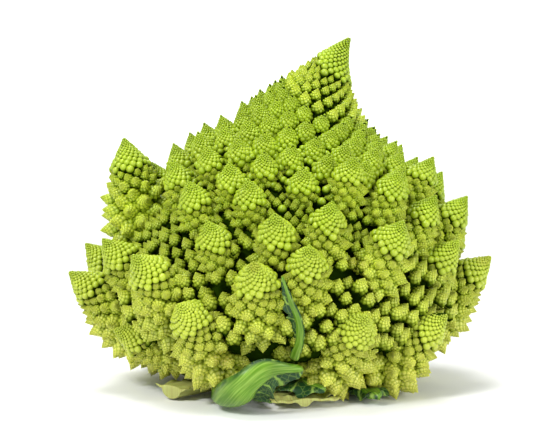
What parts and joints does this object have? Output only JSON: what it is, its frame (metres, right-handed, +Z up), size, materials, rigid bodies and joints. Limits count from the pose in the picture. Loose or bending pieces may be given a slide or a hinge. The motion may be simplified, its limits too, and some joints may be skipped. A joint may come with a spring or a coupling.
{
  "type": "romanesco head",
  "caption": "Cut head of romanesco: pointed spiral florets in a leaning cone on a flat-cut stalk, with trimmed leaves round its foot.",
  "frame": {"origin": "centre of the stalk's flat cut face, which the head stands on", "axes": "+Z up out of the cut face, +X along the head's widest extent, the side its tip leans to; the front faces -Y"},
  "size_m": [0.1773, 0.1514, 0.145],
  "materials": {
    "curd": "yellow-green plant flesh, satin, paler on the bumps and deep green in the gaps",
    "stalk": "pale cut stalk, matt, with a greener skin",
    "leaf": "dark green leaf, waxy satin, with a paler midrib and net of veins",
    "leaf_stem": "pale yellow-green leaf stem, satin"
  },
  "bodies": {
    "root": {"curd": "curd", "stalk": "stalk", "leaf_front": "leaf", "leaf_front_low": "leaf", "petiole_front": "leaf_stem", "leaf_inner": "leaf", "petiole_left": "leaf_stem", "leaf_left": "leaf", "leaf_right": "leaf", "leaf_right_low": "leaf", "leaf_right_back": "leaf", "leaf_back": "leaf", "leaf_back_left": "leaf"}
  },
  "joints": []
}
